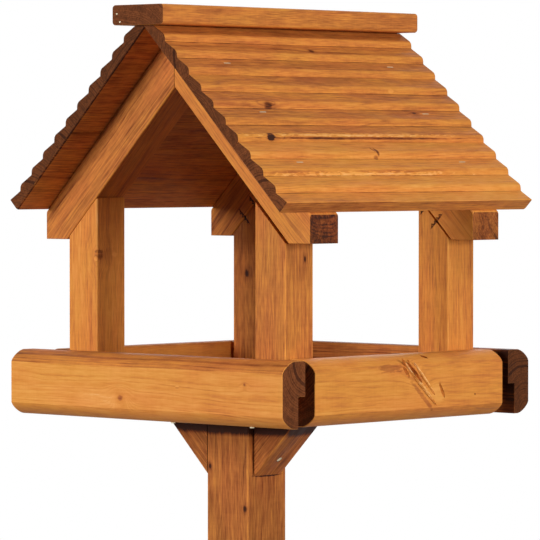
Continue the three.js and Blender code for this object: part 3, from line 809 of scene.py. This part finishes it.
for end in ("front", "back"):
    for hand, sign in HANDS:
        place = f"{end}_{hand}"
        node = f"{place}_corner_post"
        low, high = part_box(node)
        inner = low.x if sign > 0 else high.x
        slope = Vector((sign, 0, 1)).normalized()
        top = Vector((inner, 0, high.z)) - slope * JOINT_GAPS[place]
        pale = place == "back_left"  # painted light on the side of this post towards the tray
        straight_timber(node, Z, X, STOCK_ARRIS, "post_wood", POST_TONES[place], [(top, slope)],
                        lambda face: INNER_SIDE_PAINTED_LIGHT if pale and face.normal.x > FACING else 0)

        node = f"{place}_rafter"
        low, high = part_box(node)
        along = Vector((sign * math.cos(PITCH), 0, -math.sin(PITCH)))
        normal = Vector((sign * math.sin(PITCH), 0, math.cos(PITCH)))
        tail = high.x if sign > 0 else low.x
        root = low.x if sign > 0 else high.x
        peak = Vector(((tail + root) / 2, (low.y + high.y) / 2, high.z - abs(tail - root) / 2))
        run = abs(tail - root) / math.cos(PITCH) + 2 * STOCK
        cuts = [(Vector((root, 0, 0)), -sign * X), (Vector((tail, 0, 0)), sign * X),
                (Vector((0, 0, low.z)), -Z)]
        leaning_timber(node, peak - normal * STOCK / 2, along, Y * sign, run, cuts, "rafter_wood",
                       RAFTER_TONES[place])

# Roof

front_box, eave_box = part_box("right_roof_board_upper"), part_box("front_right_rafter")
roof_length = (front_box[1] - front_box[0]).y
roof_middle = (front_box[1].y + front_box[0].y) / 2
under_peak = front_box[1].z + SEAT_GAP / 2 - CAP_SEAT  # where the undersides of the two slopes meet
slope_length = (eave_box[1].x - EAVE_SETBACK) / math.cos(PITCH)
board_pitch = (slope_length + RIDGE_TRIM + EAVE_TRIM) / 3


def make_roof_board(hand, sign, index, tone):
    """A board lies flat, with x down the slope from the peak of the undersides, and is then pitched."""
    node = f"{hand}_roof_board_{ROWS[index]}"
    width = board_pitch - BOARD_JOINT
    start = index * board_pitch - RIDGE_TRIM + BOARD_JOINT / 2
    rib = width / RIBS_PER_BOARD
    piece = new_block(node + "_stained", (width, roof_length, BOARD_BASE),
                      (start + width / 2, 0, BOARD_BASE / 2))
    crests = [start + (number + RIB_CREST_SHARE) * rib for number in range(RIBS_PER_BOARD)]
    valleys = [start + number * rib for number in range(1, RIBS_PER_BOARD)]
    for line in crests + valleys:
        pick(piece, "FACE")
        bpy.ops.mesh.bisect(plane_co=(line, 0, 0), plane_no=X)
        close()

    def on_crest(corner):
        return corner.co.z > BOARD_BASE - NEAR and any(abs(corner.co.x - line) < NEAR for line in crests)

    pick(piece, "VERT", on_crest)
    bpy.ops.transform.translate(value=(0, 0, RIB_HEIGHT))
    close()
    ease(piece, Y, RIB_ROUND, 6, 0.5, lambda edge: edge.verts[0].co.z > BOARD_BASE + RIB_HEIGHT / 2)
    ease(piece, Y, VALLEY_ROUND, 2, 0.5, lambda edge: abs(edge.verts[0].co.z - BOARD_BASE) < SLIVER
         and any(abs(edge.verts[0].co.x - line) < NEAR for line in valleys))
    turn = Matrix.Rotation(0 if sign > 0 else math.pi, 3, "Z") @ Matrix.Rotation(PITCH, 3, "Y")
    put(piece, turn, Vector((0, roof_middle, under_peak)))
    down, outside = turn @ X, turn @ Z
    peak = Vector((0, 0, under_peak))
    cuts = []
    if index == 0:
        cuts = [(Vector((sign * SEAT_GAP / 2, 0, 0)), -sign * X), (Vector((0, 0, front_box[1].z)), Z)]
    if index == 2:
        cuts = [(peak + down * slope_length, down)]
    for point, waste in cuts:
        saw(piece, point, waste)

    def is_gable_arris(edge):
        faces = [face.normal for face in edge.link_faces]
        return (len(faces) == 2 and any(abs(normal.y) > PARALLEL for normal in faces)
                and any(normal.dot(outside) < -PARALLEL for normal in faces))

    pick(piece, "EDGE", is_gable_arris)
    bpy.ops.mesh.bevel(offset=GABLE_ARRIS, segments=3, affect="EDGES")
    close()
    break_rims(piece, [Y, -Y] + [waste for _, waste in cuts], BOARD_RIM)

    def rib_stain_and_shade(face):
        """Darker at the eave edges, stain round the sawn ends, and painted shade below, in the valleys and
        on the side of a rib that lies flat.
        """
        if face.normal.dot(down) > FACING:
            return EAVE_EDGE_DARKENING
        if BOARD_END_LEANS[0] < abs(face.normal.y) < BOARD_END_LEANS[1]:
            return CUT_STAIN
        if face.normal.dot(outside) < -FACING:
            return UNDERSIDE_PAINTED_SHADE
        height = (face.center - peak).dot(outside)
        if abs(height - BOARD_BASE) < VALLEY_BAND and face.normal.dot(outside) > VALLEY_LEAN:
            return VALLEY_PAINTED_SHADE
        lies = outside.dot(face.normal) > FACING and face.normal.dot(down) < RIB_LEAN
        return FLAT_RIB_PAINTED_SHADE[index] if lies else 0

    low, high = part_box(node)
    finish_timber(piece, node, "roof_wood", Y, down, (low + high) / 2, tone, shade=rib_stain_and_shade)


ROOF_TONES = {"left": (0.12, 0.1, 0.04), "right": (0.02, 0.02, -0.06)}

for hand, sign in HANDS:
    for index, tone in enumerate(ROOF_TONES[hand]):
        make_roof_board(hand, sign, index, tone)

straight_timber("ridge_cap", Y, X, BATTEN_ARRIS, "roof_wood", 0.06,
                shade=lambda face: CAP_END_STAIN if abs(face.normal.y) > FACING else 0)

# Stand

straight_timber("post", Z, X, POLE_ARRIS, "post_wood", 0.17)


def make_brace(node, out, lift, tone):
    """A mitred brace. Its long outer face runs from the post to its seat."""
    low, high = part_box(node)
    middle = (low + high) / 2
    reach = (high - low).z
    seat = high.z if lift > 0 else low.z
    far = low.z if lift > 0 else high.z
    at_post = Vector((middle.x, middle.y, far)) - out * reach / 2
    at_seat = Vector((middle.x, middle.y, seat)) + out * reach / 2
    along = (at_seat - at_post).normalized()
    side = Z.cross(out) * lift
    inward = along.cross(side)
    if inward.dot(out) > 0:
        side, inward = -side, -inward
    centre = (at_post + at_seat) / 2 + inward * STOCK / 2
    cuts = [(at_post, -out), (at_seat, lift * Z)]
    length = (at_seat - at_post).length + 2 * STOCK
    leaning_timber(node, centre, along, side, length, cuts, "post_wood", tone)


make_brace("left_tray_brace", -X, 1, 0.2)
make_brace("right_tray_brace", X, 1, 0.22)
for side_name, out in (("right", X), ("back", Y), ("left", -X), ("front", -Y)):
    make_brace(f"{side_name}_foot_brace", out, -1, random.uniform(0.1, 0.25))


def make_foot(node, along, side, lap_up):
    """A foot is halved over the other one where they cross."""
    low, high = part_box(node)
    piece, centre = node_block(node)
    ease(piece, along, FOOT_ARRIS)
    break_rims(piece, [along, -along])
    width, height = 2 * abs(low.dot(side)), (high - low).z
    lap_middle = height - SEAT_GAP / 2 if lap_up else SEAT_GAP / 2
    lap = new_block("lap", (width + SEAT_GAP, width + SEAT_GAP, height), lap_middle * Z)
    bore(piece, lap)
    finish_timber(piece, node, "post_wood", along, side, centre, 0.16)


make_foot("foot_across", X, Y, True)
make_foot("foot_along", Y, X, False)

# Small fixings that show at the surface

ABOVE_ROOF = 2  # m from the ground, from where the staples are driven down


def fix_on(piece):
    """A small steel fixing gets its metal and goes with the table."""
    piece.data.materials.append(ZINC)
    alone(piece)
    bpy.ops.object.shade_smooth_by_angle(angle=math.radians(40))
    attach(piece, "root")


def drive_staple(name, board, x, y):
    """A wire staple across the grain of a roof board, pressed until its crown is level with the wood."""
    piece = new_block(name, (STAPLE_CROWN, STAPLE_WIRE, STAPLE_WIRE))
    for end in (-1, 1):
        pick(piece, "FACE")
        bpy.ops.mesh.bisect(plane_co=(end * (STAPLE_CROWN / 2 - STAPLE_WIRE), 0, 0), plane_no=X)
        close()
    pick(piece, "FACE", lambda face: face.normal.z < -FACING
         and abs(face.calc_center_median().x) > STAPLE_CROWN / 2 - STAPLE_WIRE)
    bpy.ops.mesh.extrude_region_move(TRANSFORM_OT_translate={"value": (0, 0, -STAPLE_LEG)})
    close()
    ease(piece, X, STAPLE_WIRE / 4, 2, wanted=lambda edge: edge.verts[0].co.z > 0)
    _, place, out, _ = board.ray_cast(Vector((x, y, ABOVE_ROOF)), -Z)
    put(piece, square_to(Y, out.cross(Y)), place - out * STAPLE_WIRE * 0.25)
    fix_on(piece)


def drive_pin(name, place, out):
    """The domed head of a small pin."""
    bpy.ops.mesh.primitive_uv_sphere_add(segments=20, ring_count=10, radius=PIN_HEAD / 2)
    piece = bpy.context.object
    piece.name = piece.data.name = name
    pick(piece, "FACE")
    bpy.ops.mesh.bisect(plane_co=(0, 0, -PIN_HEAD / 4), plane_no=-Z, use_fill=True, clear_outer=True)
    close()
    put(piece, out.to_track_quat("Z", "Y").to_matrix(), place)
    fix_on(piece)


def drive_rail_screw(name, place):
    """The head of a screw driven up into the rail, with its driver recess."""
    bpy.ops.mesh.primitive_cylinder_add(vertices=24, radius=SCREW_HEAD / 2, depth=SCREW_HEAD / 3)
    piece = bpy.context.object
    piece.name = piece.data.name = name
    pick(piece, "EDGE", lambda edge: all(corner.co.z < 0 for corner in edge.verts))
    bpy.ops.mesh.bevel(offset=SCREW_HEAD / 12, segments=2, affect="EDGES")
    close()
    pick(piece, "FACE", lambda face: face.normal.z < -PARALLEL)
    bpy.ops.mesh.inset(thickness=SCREW_HEAD / 5)
    bpy.ops.mesh.extrude_region_move(TRANSFORM_OT_translate={"value": (0, 0, SCREW_HEAD / 10)})
    close()
    put(piece, Matrix.Identity(3), place)
    fix_on(piece)


# Places of the staples in millimetres, out from the ridge and along it
STAPLES_OUT = {"upper": 57, "middle": 110, "lower": 164}
STAPLES_ALONG = {"front": -92, "back": 178}

for hand, sign in HANDS:
    for row, out in STAPLES_OUT.items():
        board = bpy.data.objects[f"{hand}_roof_board_{row}_stained"]
        for end, y in STAPLES_ALONG.items():
            drive_staple(f"{hand}_{row}_{end}_staple", board, sign * out * MM, y * MM)
drive_pin("cap_end_pin_1", Vector((-31.2, -172.6, 1443.2)) * MM, -Y)
drive_pin("cap_end_pin_2", Vector((-26.6, -172.6, 1434.4)) * MM, -Y)
drive_rail_screw("front_rail_screw_1", Vector((24.6, -143, 999.4)) * MM)
drive_rail_screw("front_rail_screw_2", Vector((141.8, -143, 999.4)) * MM)

# Fastenings keep their shapes and get their metals

for name in FASTENINGS:
    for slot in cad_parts[name].material_slots:
        slot.material = STAINED_STEEL if "corrugated" in name else ZINC

# Camera, floor and light

CAMERA_PLACE = (3.0697, -3.2842, 1.2873)
CAMERA_TILT = math.radians(88.4003)
CAMERA_TURN = math.radians(42.7319)
FOCAL_LENGTH = 268.73  # mm, on film 36 mm wide

bpy.ops.object.camera_add(location=CAMERA_PLACE, rotation=(CAMERA_TILT, 0, CAMERA_TURN))
camera = bpy.context.object
camera.data.sensor_width = 36
camera.data.lens = FOCAL_LENGTH
camera.data.clip_end = 100
scene = bpy.context.scene
scene.camera = camera
scene.view_settings.view_transform = "Standard"

FLOOR_RADIUS = 6
FLOOR_DROP = 0.5 * MM  # so that the feet don't share a face with it


def looked_at(tree):
    """1 for what is seen straight, in a reflection or through something, and 0 for light that spreads."""
    path = add(tree, "LightPath")
    seen = path.outputs["Is Camera Ray"]
    for ray in ("Is Glossy Ray", "Is Transmission Ray"):
        seen = add(tree, "Math", (0, seen), (1, path.outputs[ray]), operation="MAXIMUM").outputs[0]
    return seen


bpy.ops.mesh.primitive_circle_add(vertices=96, radius=FLOOR_RADIUS, fill_type="NGON",
                                  location=(0, 0, -FLOOR_DROP))
floor = bpy.context.object
floor.name = "studio_floor"
floor_paint, tree = new_material("pale studio floor")
matt = add(tree, "BsdfDiffuse", ("Color", linear("#8c8c8c")))
glow = add(tree, "Emission", ("Color", (1, 1, 1, 1)), ("Strength", FLOOR_GLOW))
lit = add(tree, "AddShader", (0, matt.outputs[0]), (1, glow.outputs[0]))
both = add(tree, "MixShader", (0, looked_at(tree)), (1, matt.outputs[0]), (2, lit.outputs[0]))
add(tree, "OutputMaterial", ("Surface", both.outputs[0]))
floor.data.materials.append(floor_paint)

world = bpy.data.worlds.new("white studio")
scene.world = world
world.use_nodes = True
tree = world.node_tree
tree.nodes.clear()
dim = add(tree, "Background", ("Color", (1, 1, 1, 1)), ("Strength", AMBIENT))
white = add(tree, "Background", ("Color", (1, 1, 1, 1)), ("Strength", 1.0))
both = add(tree, "MixShader", (0, looked_at(tree)), (1, dim.outputs[0]), (2, white.outputs[0]))
add(tree, "OutputWorld", ("Surface", both.outputs[0]))


LAMP_DISTANCE = 3.5
LIT_PLACE = Vector((0, 0, 1.15))  # the middle of what the photograph shows


def add_softbox(name, azimuth, elevation, size, power):
    """A large soft lamp that looks at the table. Azimuth 0 stands in front, on -Y, and 90 on +X."""
    a, e = math.radians(azimuth), math.radians(elevation)
    way = Vector((math.sin(a) * math.cos(e), -math.cos(a) * math.cos(e), math.sin(e)))
    bpy.ops.object.light_add(type="AREA", location=LIT_PLACE + way * LAMP_DISTANCE)
    lamp = bpy.context.object
    lamp.name = lamp.data.name = name
    lamp.rotation_euler = way.to_track_quat("Z", "Y").to_euler()
    lamp.data.shape = "RECTANGLE"
    lamp.data.size, lamp.data.size_y = size
    lamp.data.energy = power
    lamp.visible_camera = False


add_softbox("left softbox", -12, 13, (1.3, 1.1), 60)
add_softbox("low left lamp", -12, 3.6, (1.2, 0.2), 38)
add_softbox("right softbox", 94, 5, (1.2, 1.1), 74)
add_softbox("top softbox", 80, 50, (1.5, 1.5), 34)
add_softbox("back fill", 215, 22, (1.6, 1.6), 24)

bpy.context.view_layer.update()
